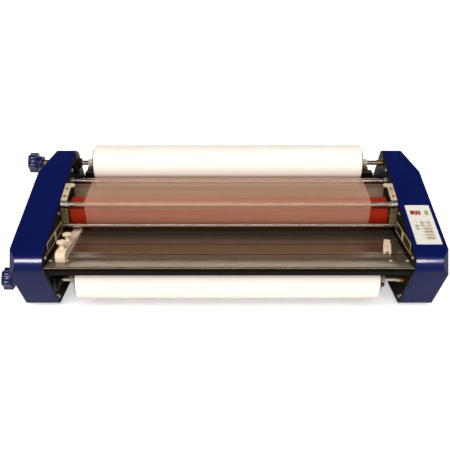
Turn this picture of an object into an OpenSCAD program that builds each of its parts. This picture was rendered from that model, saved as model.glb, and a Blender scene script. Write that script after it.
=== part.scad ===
// Desktop roll laminator, 27 inch class, with a supply roll above the feed table and one below it.
// Frame: +X to the operator's right, +Y towards the back (the way the work travels), +Z up.

/* [Machine] */
// Distance between the inner faces of the two side frames
inner_w = 744; // [700:2:800]
// Depth of each side cabinet along X, from the frame's inner face
cabinet_w = 74.4; // [66:0.2:90]
// Height of the feed table's top above the bottom of the side frames
table_z = 128; // [126:0.5:130]
// Height of the rubber feet
foot_h = 10; // [8:1:20]

/* [Rollers] */
// Length of the silicone face of the laminating rollers
roller_len = 710; // [680:5:720]
// Radius of the laminating rollers
roller_r = 34.5; // [33:0.1:34.6]
// Length of the rear pull rollers
pull_len = 716; // [680:5:720]

/* [Film] */
// Width of the film on both supply rolls
film_w = 635; // [305:5:686]
// Radius of the wound film on the supply rolls
film_r = 42.5; // [26:0.5:43]

/* [Feed table] */
// Width of one extruded table plank, front to back
plank_w = 50.8; // [40:0.2:60]
// Length of the left paper guide
guide_len = 168; // [120:2:172]

/* [Hidden] */
$fn = 64;

// Where the machine's own centreline lies in the part's frame
x_off = 17.8;
y_off = -135;
z_off = foot_h;

fx = inner_w / 2;      // inner face of a side frame
ft = 3;                // side frame thickness
cx = fx + cabinet_w;   // outer face of a cover
wall = 2;              // cover wall

// Axes in the side view, as [y, z] from the front lower corner of a side frame
ax_upper_roll = [253.5, 241];
ax_lower_roll = [-9.3, 66.6];
nip_z = table_z + 1;
ax_upper_heat = [129, nip_z + 35];
ax_lower_heat = [129, nip_z - 35];
ax_upper_pull = [275, nip_z + 16];
ax_lower_pull = [275, nip_z - 16];
ax_idler_front = [92, 197.4];
ax_idler_rear = [196, 215];
ax_idler_low = [92, 61];
ax_guard = [89, 148.5];
ax_gear = [213.79, nip_z - 40.71];
gear_m = 2;
motor_dir = 250;
ax_motor = ax_lower_heat + 49 * [cos(motor_dir), sin(motor_dir)];

// Side profile of a cabinet: front foot, front crease, top back, back knee, back foot
prof = [[0, 0], [-86.4, 140], [279, 266.1], [346, 158], [346, 0]];
prof_r = [3, 22, 8, 20, 5];
slope = atan2(266.1 - 140, 279 + 86.4);
screw_yz = [[-60, 142.4], [-3.5, 20], [66, 186], [210, 235.5], [300, 222], [339.5, 140], [339.5, 14]];

// ---- helpers ----
function unit(v) = v / norm(v);
function left_of(v) = [-v[1], v[0]];
function cross2(a, b) = a[0] * b[1] - a[1] * b[0];
// inset of a convex polygon listed clockwise, with the inside on the right of each edge
function inset(p, d) = [for (i = [0 : len(p) - 1])
  let (a = p[(i + len(p) - 1) % len(p)], b = p[i], c = p[(i + 1) % len(p)],
       u = unit(b - a), v = unit(c - b),
       a1 = a - left_of(u) * d, b1 = b - left_of(v) * d,
       t = cross2(b1 - a1, v) / cross2(u, v))
  a1 + u * t];
function rounded(p, r, n = 8) = [for (i = [0 : len(p) - 1])
  let (a = p[(i + len(p) - 1) % len(p)], b = p[i], c = p[(i + 1) % len(p)],
       u = unit(a - b), v = unit(c - b), half = acos(u * v) / 2,
       t = r[i] / tan(half), m = b + unit(u + v) * (r[i] / sin(half)),
       s = b + u * t - m, turn = 180 - 2 * half)
  for (k = [0 : n]) let (w = -turn * k / n)
    m + [s[0] * cos(w) - s[1] * sin(w), s[0] * sin(w) + s[1] * cos(w)]];
// a run of film round circles [centre, radius, side]: side 1 turns to the left, -1 to the right
function run_dir(a, b) = let (d = b[0] - a[0])
  atan2(d[1], d[0]) - asin((b[2] * b[1] - a[2] * a[1]) / norm(d));
function run_pt(c, th) = c[0] - [-sin(th), cos(th)] * (c[1] * c[2]);
function up_to(t, lo) = t < lo ? up_to(t + 360, lo) : t;
function arc_pts(c, t0, t1, n) = [for (k = [0 : n]) run_pt(c, t0 + (t1 - t0) * k / n)];
function strip(p, t) = let (n = len(p), off = [for (i = [0 : n - 1])
    let (q = i == 0 ? p[1] - p[0] : i == n - 1 ? p[n - 1] - p[n - 2] : unit(p[i] - p[i - 1]) + unit(p[i + 1] - p[i]))
    left_of(unit(q)) * t / 2])
  concat([for (i = [0 : n - 1]) p[i] + off[i]], [for (i = [n - 1 : -1 : 0]) p[i] - off[i]]);

module xext(x0, x1) { translate([x0, 0, 0]) rotate([90, 0, 90]) linear_extrude(x1 - x0) children(); }
module xcyl(r, x0, x1, c = [0, 0]) { translate([x0, c[0], c[1]]) rotate([0, 90, 0]) cylinder(r = r, h = x1 - x0); }
module block(a, b) { translate(a) cube(b - a); }
module on_machine() { translate([x_off, y_off, z_off]) children(); }
module both_sides() { children(); mirror([1, 0, 0]) children(); }

// ---- involute spur gear along X, a tooth pointing at angle rot ----
function inv_a(x) = tan(x) * 180 / PI - x;
function half_tooth(n, r, pitch_r, base_r) =
  90 / n - 0.13 * 180 / PI / pitch_r + inv_a(20) - (r > base_r ? inv_a(acos(base_r / r)) : 0);
function gear_pts(n, rot) = let (pr = gear_m * n / 2, br = pr * cos(20), rr = pr - 1.2 * gear_m, tr = pr + 0.8 * gear_m,
    rs = [rr, max(rr + 0.1, br), pr - 0.2, (pr + tr) / 2, tr])
  [for (i = [0 : n - 1]) each concat(
    [for (k = [0 : 4]) let (a = rot + 360 * i / n - half_tooth(n, rs[k], pr, br)) rs[k] * [cos(a), sin(a)]],
    [for (k = [4 : -1 : 0]) let (a = rot + 360 * i / n + half_tooth(n, rs[k], pr, br)) rs[k] * [cos(a), sin(a)]])];
module gear(n, rot, c, x0, x1) { xext(x0, x1) translate(c) polygon(gear_pts(n, rot)); }
function dir_to(a, b) = atan2(b[1] - a[1], b[0] - a[0]);
// rotation of a gear that meshes with one of n1 teeth at rotation t1, seen in direction al
function mesh(n1, t1, n2, al) = al + 180 + (al - t1) * n1 / n2 + 180 / n2;
rot_low = 0;
rot_up = mesh(35, rot_low, 35, 90);
rot_idl = mesh(35, rot_low, 50, dir_to(ax_lower_heat, ax_gear));
rot_pl = mesh(50, rot_idl, 16, dir_to(ax_gear, ax_lower_pull));
rot_pu = mesh(16, rot_pl, 16, 90);
rot_mot = mesh(35, rot_low, 14, motor_dir);

// ---- side frames ----
module frame_holes(right) {
  hole = right ? 9 : 11;
  xcyl(hole, fx - 1, fx + 5, ax_upper_roll);
  xcyl(hole, fx - 1, fx + 5, ax_lower_roll);
  xcyl(17, fx - 1, fx + 5, ax_upper_heat);
  xcyl(17, fx - 1, fx + 5, ax_lower_heat);
  xcyl(8, fx - 1, fx + 5, ax_upper_pull);
  xcyl(8, fx - 1, fx + 5, ax_lower_pull);
  // slot above the upper roller's bearing, for its pressure spring
  block([fx - 1, ax_upper_heat[0] - 5.4, ax_upper_heat[1] + 10], [fx + 5, ax_upper_heat[0] + 5.4, 206]);
  for (c = screw_yz) xcyl(2.2, fx - 1, fx + 5, c);
}
module side_frame(right) {
  difference() {
    union() {
      xext(fx, fx + ft) polygon(rounded(inset(prof, 0.5), [2.5, 21.5, 7.5, 19.5, 4.5]));
      block([fx + 1, 14, wall + 0.3], [fx + 33, 330, wall + 3.3]);
      block([fx + 1, 14, 0.5], [fx + ft, 330, wall + 3.3]);
    }
    frame_holes(right);
    for (y = [40, 304]) translate([fx + 20, y, -1]) cylinder(r = 3.2, h = 10);
  }
}
module right_side_frame() { color([0.10, 0.10, 0.09]) side_frame(true); }
module left_side_frame() { color([0.10, 0.10, 0.09]) mirror([1, 0, 0]) side_frame(false); }

// ---- cabinets' painted covers ----
module trim(d) {
  // rear corner, cut back in plan
  translate([0, 0, -60]) linear_extrude(400) polygon([[fx - 30, -160], [cx - d, -160], [cx - d, 197 - d * 0.3],
    [cx - 31.4 - d, 290 - d * 0.3], [cx - 31.4 - d, 370], [fx - 30, 370]]);
}
module nose_trim(d) {
  // front corner, a facet that leans back with height
  translate([0, -55, 131]) rotate([-24.3, 0, 0]) translate([0, 0, -400]) linear_extrude(800)
    polygon([[fx - 60, -400], [cx - d * 0.76 - 339, -400], [cx - d * 0.76, d * 0.1], [cx + 20, 20], [cx + 20, 700], [fx - 60, 700]]);
}
module cover_outer() {
  intersection() { xext(fx + ft + 0.3, cx) polygon(rounded(prof, prof_r, 12)); trim(0); nose_trim(0); }
}
module cover_inner() {
  intersection() {
    union() {
      xext(fx - 2, cx) polygon(rounded(inset(prof, wall), [1, 20, 6, 18, 3], 12));
      block([fx - 2, 8, -5], [cx, 338, 6]);
    }
    trim(wall);
    nose_trim(wall);
  }
}
module cover_shell() {
  difference() {
    union() {
      difference() { cover_outer(); cover_inner(); }
      // return flange that lies against the side frame
      difference() {
        xext(fx + ft + 0.3, fx + ft + 2.1) polygon(rounded(inset(prof, 0.6), [2.4, 21.4, 7.4, 19.4, 4.4], 12));
        xext(fx + ft - 1, fx + ft + 4) polygon(rounded(inset(prof, 11), [2, 11, 3, 9, 3]));
        block([fx, 12, -2], [cx, 334, 6.2]);
        xcyl(13.5, fx, fx + 8, ax_upper_roll);
      }
    }
    for (c = screw_yz) xcyl(1.7, fx + 2, fx + 8, c);
  }
}
module at_panel() { translate([411.2, 25, 178.44]) rotate([slope, 0, 0]) children(); }
module right_cover() {
  color([0.03, 0.06, 0.33]) difference() {
    cover_shell();
    at_panel() block([-23, -52, -8], [23, 50, 8]);
    block([pe[0] - 14, 335, 33], [pe[0] + 14, 350, 105]);
  }
}
module left_cover() {
  color([0.03, 0.06, 0.33]) mirror([1, 0, 0]) difference() {
    cover_shell();
    xcyl(9, fx + 20, cx + 10, ax_upper_roll);
    xcyl(9, fx + 20, cx + 10, ax_lower_roll);
  }
}

// ---- chassis between the side frames ----
module chassis_pan() {
  color([0.09, 0.09, 0.09]) {
    // tray
    difference() {
      block([-fx + 0.3, 96, 6], [fx - 0.3, 333.4, 8]);
      translate([0, 236, 0]) cylinder(r = 38, h = 20);
    }
    block([-fx + 2.3, 96, 8], [fx - 2.3, 98, 26]);
    both_sides() block([fx - 2.3, 96, 8], [fx - 0.3, 333.4, 26]);
    // rear wall with its row of vents
    difference() {
      block([-fx + 2.3, 331.4, 8], [fx - 2.3, 333.4, 112]);
      for (i = [0 : 21]) block([-310 + i * 29, 330, 34], [-310 + i * 29 + 12, 342, 92]);
    }
    // two channels that carry the feed table
    for (y = [-60, 58]) difference() {
      block([-fx + 0.3, y, 102], [fx - 0.3, y + 14, table_z - 12.4]);
      block([-fx - 2, y + 2, 100], [fx + 2, y + 12, table_z - 14.4]);
    }
  }
}
hood = [[214, 166], [214, 197], [216, 198.4], [248, 182], [328, 182], [328, 146]];
module rear_hood() {
  color([0.10, 0.09, 0.08]) {
    xext(-fx + 0.3, fx - 0.3) polygon(strip(hood, 1.6));
    both_sides() xext(fx - 1.9, fx - 0.3) polygon([[213, 168], [213, 190], [248, 180], [327, 180], [327, 150], [300, 150], [300, 168]]);
    // closed channel along the hood's rear edge
    difference() {
      block([-363, 296, 182.81], [363, 322, 200]);
      block([-361.5, 297.5, 180], [361.5, 320.5, 198.5]);
    }
  }
}

// ---- feed table ----
table_x = fx - 1.2;
groove = [-17.8, 33, 83.8];
module plank(y0, y1) {
  xext(-table_x, table_x) difference() {
    polygon([[y0 + 0.3, table_z - 12], [y0 + 0.3, table_z - 2], [y0 + 1.5, table_z], [y1 - 1.5, table_z], [y1 - 0.3, table_z - 2],
      [y1 - 0.3, table_z - 12]]);
    polygon([[y0 + 2.6, table_z - 10], [y0 + 2.6, table_z - 2.4], [y1 - 2.6, table_z - 2.4], [y1 - 2.6, table_z - 10]]);
  }
}
module feed_table() {
  color([0.16, 0.13, 0.11]) difference() {
    union() {
      plank(-68.4, groove[0]);
      plank(groove[1] - plank_w, groove[1]);
      plank(groove[1], groove[1] + plank_w);
      // last plank, cut away over the lower roller, with a thin lip towards the nip
      xext(-table_x, table_x) polygon([[84.1, table_z - 12], [84.1, table_z - 2], [85.3, table_z], [111.6, table_z], [112.4, table_z - 0.6],
        [112.4, table_z - 1.4], [97, table_z - 12]]);
      // nose moulding: a rounded bead, a groove and a lower fillet
      xext(-table_x, table_x) difference() {
        union() {
          polygon([[-80.6, table_z - 5.4], [-80.6, table_z - 1.9], [-77, table_z - 1.9], [-77, table_z - 0.5], [-68.7, table_z - 0.5], [-68.7, table_z - 5.4]]);
          translate([-75.4, table_z - 1.2]) circle(r = 2.6);
        }
        polygon([[-84, table_z - 6.4], [-84, table_z - 5.4], [-60, table_z - 5.4], [-60, table_z - 6.4]]);
        translate([-78.6, table_z - 1.7]) circle(r = 0.7);
      }
    }
    for (x = table_screws) {
      translate([x, -45, table_z - 1.6]) cylinder(r = 3.7, h = 4);
      translate([x, -45, table_z - 20]) cylinder(r = 1.7, h = 24);
    }
  }
}
table_screws = [-366, -331.9, 331.9, 366];

// ---- bars and their brackets ----
module nip_guard_bar() { color([0.75, 0.72, 0.70]) xcyl(4.8, -fx + 0.3, fx - 0.3, ax_guard); }
module upper_idler_bar() {
  color([0.80, 0.78, 0.76]) { xcyl(5, -353, 353, ax_idler_front); xcyl(3.2, -fx + 2, fx - 2, ax_idler_front); }
}
module rear_idler_bar() { color([0.80, 0.78, 0.76]) xcyl(6, -fx + 2, fx - 2, ax_idler_rear); }
module lower_idler_bar() { color([0.80, 0.78, 0.76]) xcyl(6, -fx + 2, fx - 2, ax_idler_low); }
module bush(c, x0, x1, ro, ri) { difference() { xcyl(ro, x0, x1, c); xcyl(ri, x0 - 1, x1 + 1, c); } }
module idler_brackets() {
  color([0.62, 0.55, 0.40]) both_sides() {
    // sloped top flange with a rounded ear towards the rear bar
    translate([fx - 13.8, 94, 207]) rotate([slope, 0, 0]) difference() {
      translate([0, 0, -2]) linear_extrude(2) polygon(concat([[13.5, 0], [13.5, 58]], [for (a = [90 : 22.5 : 270]) [-2.5 + 6 * cos(a), 52 + 6 * sin(a)]], [[0, 46], [0, 0]]));
      for (y = [12, 38]) translate([7, y, -4]) cylinder(r = 2.2, h = 8);
    }
    // leg on the frame, with a window round the pressure spring
    xext(fx - 2.4, fx - 0.5) polygon([[97, 206.7], [146, 223.7], [146, 212.7], [140, 208.6], [97, 204.4]]);
    // plate that faces the operator, beside the roller's end
    difference() {
      block([fx - 16, 84, 154], [fx - 0.3, 86, 190]);
      translate([fx - 8, 80, 185.5]) rotate([-90, 0, 0]) cylinder(r = 1.8, h = 10);
    }
    block([fx - 2.4, 86, 154], [fx - 0.3, 93, 190]);
  }
  // plain bushes that hold the ends of the idler bars
  color([0.88, 0.87, 0.84]) both_sides() {
    bush(ax_idler_front, fx - 18.6, fx - 0.3, 6, 3.27);
    bush(ax_idler_rear, fx - 6, fx - 0.3, 8, 6.06);
    bush(ax_idler_low, fx - 6, fx - 0.3, 8, 6.06);
  }
}

// ---- laminating rollers ----
module sleeve(c) { bush(c, -roller_len / 2, roller_len / 2, roller_r, 30); }
module roller_shaft(c, rot) {
  difference() {
    union() {
      xcyl(30, -roller_len / 2 + 0.5, roller_len / 2 - 0.5, c);
      xcyl(11, -fx - 6.5, fx + 18.5, c);
      xcyl(15, -fx + 1.5, fx - 1.5, c);
    }
    xcyl(27, -roller_len / 2 + 8, roller_len / 2 - 8, c);
    xcyl(7, -fx - 8, fx + 20, c);
  }
  difference() {
    gear(35, rot, c, fx + 7, fx + 17);
    xcyl(10.9, fx + 5, fx + 18, c);
  }
}
module upper_roller_sleeve() { color([0.72, 0.16, 0.05]) sleeve(ax_upper_heat); }
module lower_roller_sleeve() { color([0.72, 0.16, 0.05]) sleeve(ax_lower_heat); }
module upper_roller_shaft() { color([0.55, 0.55, 0.56]) roller_shaft(ax_upper_heat, rot_up); }
module lower_roller_shaft() { color([0.55, 0.55, 0.56]) roller_shaft(ax_lower_heat, rot_low); }
module bronze_bushes() {
  color([0.70, 0.55, 0.28]) {
    both_sides() for (c = [ax_upper_heat, ax_lower_heat]) {
      bush(c, fx, fx + 5.5, 16.95, 11.06);
      bush(c, fx - 1.2, fx, 19, 15.4);
    }
    both_sides() for (c = [ax_upper_pull, ax_lower_pull]) bush(c, fx - 2, fx + 4.5, 7.95, 5.06);
    for (c = [ax_upper_roll, ax_lower_roll]) {
      bush(c, fx - 1, fx + 6.5, 8.95, 5.56);
      bush(c, fx - 14, fx - 1, 7.6, 5.56);
      bush(c, -fx - 9, -fx - 0.6, 10.95, 6.06);
    }
    // outer bushes, in the left cover
    bush(ax_upper_roll, -cx - 2.6, -cx + 16, 7.4, 6.06);
    bush(ax_upper_roll, -cx + 16, -cx + 30, 8.95, 6.06);
    bush(ax_lower_roll, -cx - 2.6, -cx - 0.5, 7.4, 6.06);
    bush(ax_lower_roll, -cx - 0.5, -cx + 8, 8.95, 6.06);
  }
}
module pressure_springs() {
  color([0.6, 0.6, 0.62]) both_sides() {
    for (i = [0 : 5]) translate([fx + 1.5, ax_upper_heat[0], 185.2 + i * 3]) rotate_extrude() translate([3.1, 0]) circle(r = 0.8, $fn = 16);
    translate([fx + 1.5, ax_upper_heat[0], 183.3]) cylinder(r = 2.2, h = 19);
    block([fx + 0.2, ax_upper_heat[0] - 5, 201.6], [fx + 2.8, ax_upper_heat[0] + 5, 205.8]);
    difference() {
      block([fx + 0.2, ax_upper_heat[0] - 5, 181.05], [fx + 2.8, ax_upper_heat[0] + 5, 184.2]);
      xcyl(17, fx - 1, fx + 5, ax_upper_heat);
    }
  }
}
module heater_rods() {
  color([0.85, 0.85, 0.86]) for (c = [ax_upper_heat, ax_lower_heat]) {
    xcyl(5, -fx - 14, fx + 30, c);
    xcyl(8, -fx - 22, -fx - 9, c);
    xcyl(8, fx + 24.5, fx + 36, c);
  }
}

// ---- rear pull rollers ----
module pull_roller(c, rot) {
  difference() {
    union() {
      xcyl(15.5, -pull_len / 2, pull_len / 2, c);
      xcyl(5, -fx - 5, fx + 18.5, c);
    }
    xcyl(1.5, -fx - 8, -fx - 1, c);
  }
  difference() { gear(16, rot, c, fx + 7, fx + 17); xcyl(4.9, fx + 5, fx + 18, c); }
}
module upper_pull_roller() { color([0.12, 0.12, 0.12]) pull_roller(ax_upper_pull, rot_pu); }
module lower_pull_roller() { color([0.12, 0.12, 0.12]) pull_roller(ax_lower_pull, rot_pl); }

// ---- drive ----
posts = [[76, 24], [152, 24], [76, 120], [184, 170], [87, 176]];
module drive_plate() {
  color([0.55, 0.55, 0.55]) {
    difference() {
      xext(fx + 20.5, fx + 23.5) polygon([[66, 14], [162, 14], [196, 160], [196, 182], [80, 182], [64, 150], [64, 60]]);
      xcyl(5.2, fx + 18, fx + 26, ax_upper_heat);
      xcyl(5.2, fx + 18, fx + 26, ax_lower_heat);
      xcyl(9, fx + 18, fx + 26, ax_motor);
    }
    for (c = posts) xcyl(4, fx + ft, fx + 20.5, c);
    // carrier for the other ends of the heater rods
    difference() {
      block([-fx - 9, 104, 76], [-fx - 7, 154, 182]);
      for (c = [ax_upper_heat, ax_lower_heat]) xcyl(5.2, -fx - 12, -fx - 5, c);
    }
    for (z = [82, 129, 176]) for (y = [108]) xcyl(3, -fx - 7, -fx - ft, [y, z]);
    // fixed stud of the large idler gear
    xcyl(5, fx + ft, fx + 19, ax_gear);
    difference() { xcyl(8, fx + ft, fx + 6.5, ax_gear); xcyl(1, fx, fx + 2, ax_gear); }
  }
}
module drive_motor() {
  color([0.30, 0.30, 0.31]) {
    difference() {
      xcyl(28, fx + 23.7, fx + 40, ax_motor);
      xcyl(4.2, fx + 20, fx + 32, ax_motor);
    }
    xcyl(24, fx + 40, fx + 68, ax_motor);
    xcyl(7, fx + 68, fx + 70.5, ax_motor);
  }
}
module motor_pinion() {
  color([0.72, 0.58, 0.30]) {
    gear(14, rot_mot, ax_motor, fx + 7, fx + 17);
    xcyl(4, fx + 4.5, fx + 31, ax_motor);
  }
}
module idler_gear() {
  color([0.88, 0.86, 0.80]) difference() {
    union() { gear(50, rot_idl, ax_gear, fx + 7, fx + 17); }
    xcyl(5.06, fx + 5, fx + 19, ax_gear);
    for (a = [0 : 60 : 300]) xcyl(9, fx + 5, fx + 19, ax_gear + 29 * [cos(a), sin(a)]);
  }
}

// ---- supply shafts ----
shift = -3;   // the film sits a little to the operator's left
roll0 = shift - film_w / 2;
roll1 = shift + film_w / 2;
module brake_hub(c) {
  color([0.05, 0.05, 0.05]) {
    translate([-fx + 1, c[0], c[1]]) rotate([0, 90, 0]) difference() {
      rotate_extrude() polygon([[0, 0], [26.6, 0], [27, 0.6], [27, 3.6], [26, 5], [20, 6.4], [15, 7.6], [11.6, 10], [10.6, 13.6], [9.4, 14.4], [0, 14.4]]);
      translate([0, 0, 9]) cylinder(r = 5.52, h = 10);
    }
    xcyl(6, -cx - 28, -fx + 1.1, c);
    // spring washers between the frame and the knob's nut
    for (i = [0 : 3]) translate([-fx - 14 - i * 4, c[0], c[1]]) rotate([0, -90, 0]) rotate_extrude()
      polygon([[5.9, 0], [11.5, 1.4], [11.5, 2.4], [5.9, 1]]);
    xcyl(12, -fx - 12, -fx - 9.5, c);
  }
}
module mandrel(c) {
  color([0.74, 0.72, 0.68]) difference() {
    xcyl(5.5, -fx + 10.2, fx + 6, c);
    translate([-fx + 30, c[0] - 1.2, c[1] + 4.4]) cube([2 * fx - 60, 2.4, 3]);
  }
}
module chuck(c, side, screw_a) {
  x = side > 0 ? roll1 : -roll0;
  mirror([side > 0 ? 0 : 1, 0, 0]) {
    bush(c, x + 0.3, x + 3.5, 36, 5.51);
    bush(c, x - 34, x + 0.3, 12.4, 5.51);
    bush(c, x + 3.4, x + 6, 12.4, 5.51);
    bush(c, x + 5.9, x + 19, 9, 5.51);
    translate([x + 14, c[0], c[1]]) rotate([screw_a, 0, 0]) {
      translate([0, 0, 7]) cylinder(r = 2.4, h = 6);
      translate([0, 0, 12.4]) cylinder(r = 7.4, h = 5);
      translate([0, 0, 11.2]) cylinder(r = 6, h = 7.8);
    }
  }
}
module film_roll(c) { color([0.95, 0.94, 0.92]) bush(c, roll0, roll1, film_r, 12.7); }
module tension_knob(c) {
  x1 = -cx - 35.6;
  color([0.04, 0.07, 0.38]) difference() {
    union() {
      xcyl(21, x1 + 2, x1 + 20.5, c);
      xcyl(19, x1, x1 + 22, c);
      xcyl(15.6, x1 + 21, x1 + 32.4, c);
      for (a = [0 : 60 : 300]) xcyl(7.4, x1 + 1.4, x1 + 19.6, c + 16.8 * [cos(a), sin(a)]);
    }
    for (a = [30 : 60 : 330]) xcyl(5.4, x1 - 1, x1 + 20.6, c + 25.6 * [cos(a), sin(a)]);
    xcyl(6.06, -cx - 29, -cx, c);
    bush(c, -cx - 7, -cx, 13, 8.6);
  }
}
module upper_brake_hub() { brake_hub(ax_upper_roll); }
module lower_brake_hub() { brake_hub(ax_lower_roll); }
module upper_mandrel() { mandrel(ax_upper_roll); }
module lower_mandrel() { mandrel(ax_lower_roll); }
module upper_core_chucks() { color([0.66, 0.60, 0.50]) for (s = [-1, 1]) chuck(ax_upper_roll, s, 140); }
module lower_core_chucks() { color([0.66, 0.60, 0.50]) { chuck(ax_lower_roll, -1, 24); chuck(ax_lower_roll, 1, 190); } }
module upper_film_roll() { film_roll(ax_upper_roll); }
module lower_film_roll() { film_roll(ax_lower_roll); }
module upper_tension_knob() { tension_knob(ax_upper_roll); }
module lower_tension_knob() { tension_knob(ax_lower_roll); }

// ---- film between the rolls and the nip ----
web_t = 0.4;
gap = 0.5;
w_ur = [ax_upper_roll, film_r + gap, -1];
w_ir = [ax_idler_rear, 6 + gap, 1];
w_if = [ax_idler_front, 5 + gap, 1];
w_uh = [ax_upper_heat, 35, 1];
w_lr = [ax_lower_roll, film_r + gap, 1];
w_il = [ax_idler_low, 6 + gap, 1];
w_lh = [ax_lower_heat, 35, -1];
d1 = up_to(run_dir(w_ur, w_ir), 90);
d2 = up_to(run_dir(w_ir, w_if), 90);
d3 = up_to(run_dir(w_if, w_uh), 180);
upper_run = concat([run_pt(w_ur, d1)], arc_pts(w_ir, d1, d2, 3), arc_pts(w_if, d2, d3, 8), arc_pts(w_uh, d3, 360, 14), [[306, nip_z]]);
d4 = run_dir(w_lr, w_il);
d5 = run_dir(w_il, w_lh);
lower_run = concat([run_pt(w_lr, d4)], arc_pts(w_il, d4, d5, 8), arc_pts(w_lh, d5, 12, 12));
module upper_film_web() { color([0.75, 0.72, 0.68, 0.4]) xext(roll0 + 1, roll1 - 1) polygon(strip(upper_run, web_t)); }
module lower_film_web() { color([0.75, 0.72, 0.68, 0.4]) xext(roll0 + 1, roll1 - 1) polygon(strip(lower_run, web_t)); }

// ---- paper guides ----
gx = -343.5;
module paper_guide() {
  color([0.93, 0.89, 0.80]) difference() {
    xext(gx - 10, gx + 10) polygon([[-53.4, table_z + 0.3], [-53.6, table_z + 9], [-52.4, table_z + 14], [-49.6, table_z + 17.8], [-45.6, table_z + 19.8],
      [-41, table_z + 20.4], [-20, table_z + 18.8], [16, table_z + 15], [40, table_z + 10.2], [60, table_z + 7],
      [guide_len - 76, table_z + 3.8], [guide_len - 57, table_z + 3.2], [guide_len - 55.2, table_z + 2.4], [guide_len - 55, table_z + 0.3]]);
    for (y = [-29.6, 16]) translate([gx, y, table_z + 2]) cylinder(r = 3.06, h = 30);
  }
}
module guide_screw(y, z) {
  color([0.90, 0.86, 0.77]) translate([gx, y, table_z + z]) {
    translate([0, 0, -z + 2.6]) cylinder(r = 3, h = z - 2);
    rotate_extrude() polygon([[0, 0], [6.4, 0], [6.2, 1.2], [5.1, 4], [5, 7], [6.2, 10.5], [8.2, 13.6], [9, 15.4], [8.6, 16.8], [7, 17.6], [0, 17.6]]);
    translate([-9.5, -2.2, 10.5]) cube([19, 4.4, 6.8]);
  }
}
module guide_screw_front() { guide_screw(-29.6, 20.2); }
module guide_screw_rear() { guide_screw(16, 16.4); }
module right_stop() {
  color([0.93, 0.88, 0.78]) translate([338.3, 16, table_z]) rotate([0, 0, -12.7]) difference() {
    union() {
      block([-8, -32, 0.3], [8, 14, 6]);
      block([-6.6, 14, 0.3], [6.6, 32, 4.8]);
    }
    block([-3.4, -36, -1], [3.4, -21, 10]);
    block([-12, 12, 2.4], [12, 14, 10]);
    translate([0, 2, -1]) cylinder(r = 2.2, h = 10);
  }
}

// ---- control panel on the right cover ----
left_k = [[-13.4, 2.6], [-13.7, -6], [-13.7, -14.6]];
middle_k = [[-0.6, 4], [-0.8, -4.8]];
right_k = [[12.4, 4], [12.2, -4.8]];
wide_k = [[7.4, -14.2], [7.4, -23.8], [7.4, -33.4], [7.4, -43]];
module pill(c, w, h, z0, z1, g = 0) {
  translate([c[0], c[1], z0]) {
    for (s = [-1, 1]) translate([s * (w - h) / 2, 0, 0]) cylinder(r = h / 2 + g, h = z1 - z0, $fn = 32);
    translate([-(w - h) / 2, -h / 2 - g, 0]) cube([w - h, h + 2 * g, z1 - z0]);
  }
}
module control_panel() {
  color([0.93, 0.92, 0.88]) at_panel() difference() {
    block([-26.2, -60.3, 0.05], [26.2, 60.3, 1.4]);
    for (c = left_k) pill(c, 9.6, 6.2, -1, 3, 0.35);
    for (c = concat(middle_k, right_k)) pill(c, 10.4, 6, -1, 3, 0.35);
    for (c = wide_k) pill(c, 20.4, 6.8, -1, 3, 0.35);
    block([-18.6, 29.8, -1], [3.2, 42.4, 3]);
    block([12.4, 29.8, -1], [19.4, 42.4, 3]);
  }
}
module display_windows() {
  color([0.45, 0.05, 0.02]) at_panel() { block([-18.4, 30, -6], [3, 42.2, 1.5]); block([12.6, 30, -6], [19.2, 42.2, 1.5]); }
}
module control_board() {
  color([0.05, 0.30, 0.12]) at_panel() {
    block([-21.5, -48, -10.5], [21.5, 47, -9]);
    for (x = [-19.8, 19.8]) for (y = [-45, 20]) translate([x, y, -9]) cylinder(r = 1.5, h = 9, $fn = 24);
    block([-20, 27, -9], [20.5, 45, -6.2]);
    block([-16, -30, -22], [-2, -16, -10.5]);
    block([2, -8, -26], [16, 20, -10.5]);
    for (c = concat(left_k, middle_k, right_k, wide_k)) translate([c[0], c[1], -9]) cylinder(r = 1.8, h = 6.6, $fn = 24);
  }
}
module key_at(c, w, h) {
  at_panel() {
    pill(c, w, h, -1.6, 1.9);
    pill(c, w - 1.4, h - 1.4, 1.9, 2.3);
  }
}
module left_key(i) { color([0.97, 0.97, 0.96]) key_at(left_k[i - 1], 9.6, 6.2); }
module middle_key(i) { color([0.80, 0.75, 0.66]) key_at(middle_k[i - 1], 10.4, 6); }
module right_key(i) { color([0.80, 0.75, 0.66]) key_at(right_k[i - 1], 10.4, 6); }
module wide_key(i) { color([0.80, 0.75, 0.66]) key_at(wide_k[i - 1], 20.4, 6.8); }

// ---- cooling fan under the rear bed ----
module fan_housing() {
  color([0.10, 0.10, 0.10]) translate([0, 236, 8.1]) {
    difference() {
      block([-40, -40, 0], [40, 40, 25]);
      translate([0, 0, -1]) cylinder(r = 37.5, h = 30);
      for (a = [-35.75, 35.75]) for (b = [-35.75, 35.75]) translate([a, b, -1]) cylinder(r = 2.2, h = 30);
    }
    difference() {
      union() {
        cylinder(r = 16, h = 3);
        for (a = [30 : 120 : 270]) rotate([0, 0, a]) translate([14, -2, 0]) cube([24.5, 4, 3]);
      }
      cylinder(r = 1.6, h = 10, center = true);
    }
  }
}
module fan_rotor() {
  color([0.06, 0.06, 0.06]) translate([0, 236, 8.1]) {
    translate([0, 0, 4]) cylinder(r = 16, h = 19);
    for (a = [0 : 360 / 7 : 350]) rotate([0, 0, a]) translate([14, 0, 13.5]) rotate([35, 0, 0]) translate([0, -9, -0.8]) cube([21.5, 18, 1.6]);
  }
}

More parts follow.
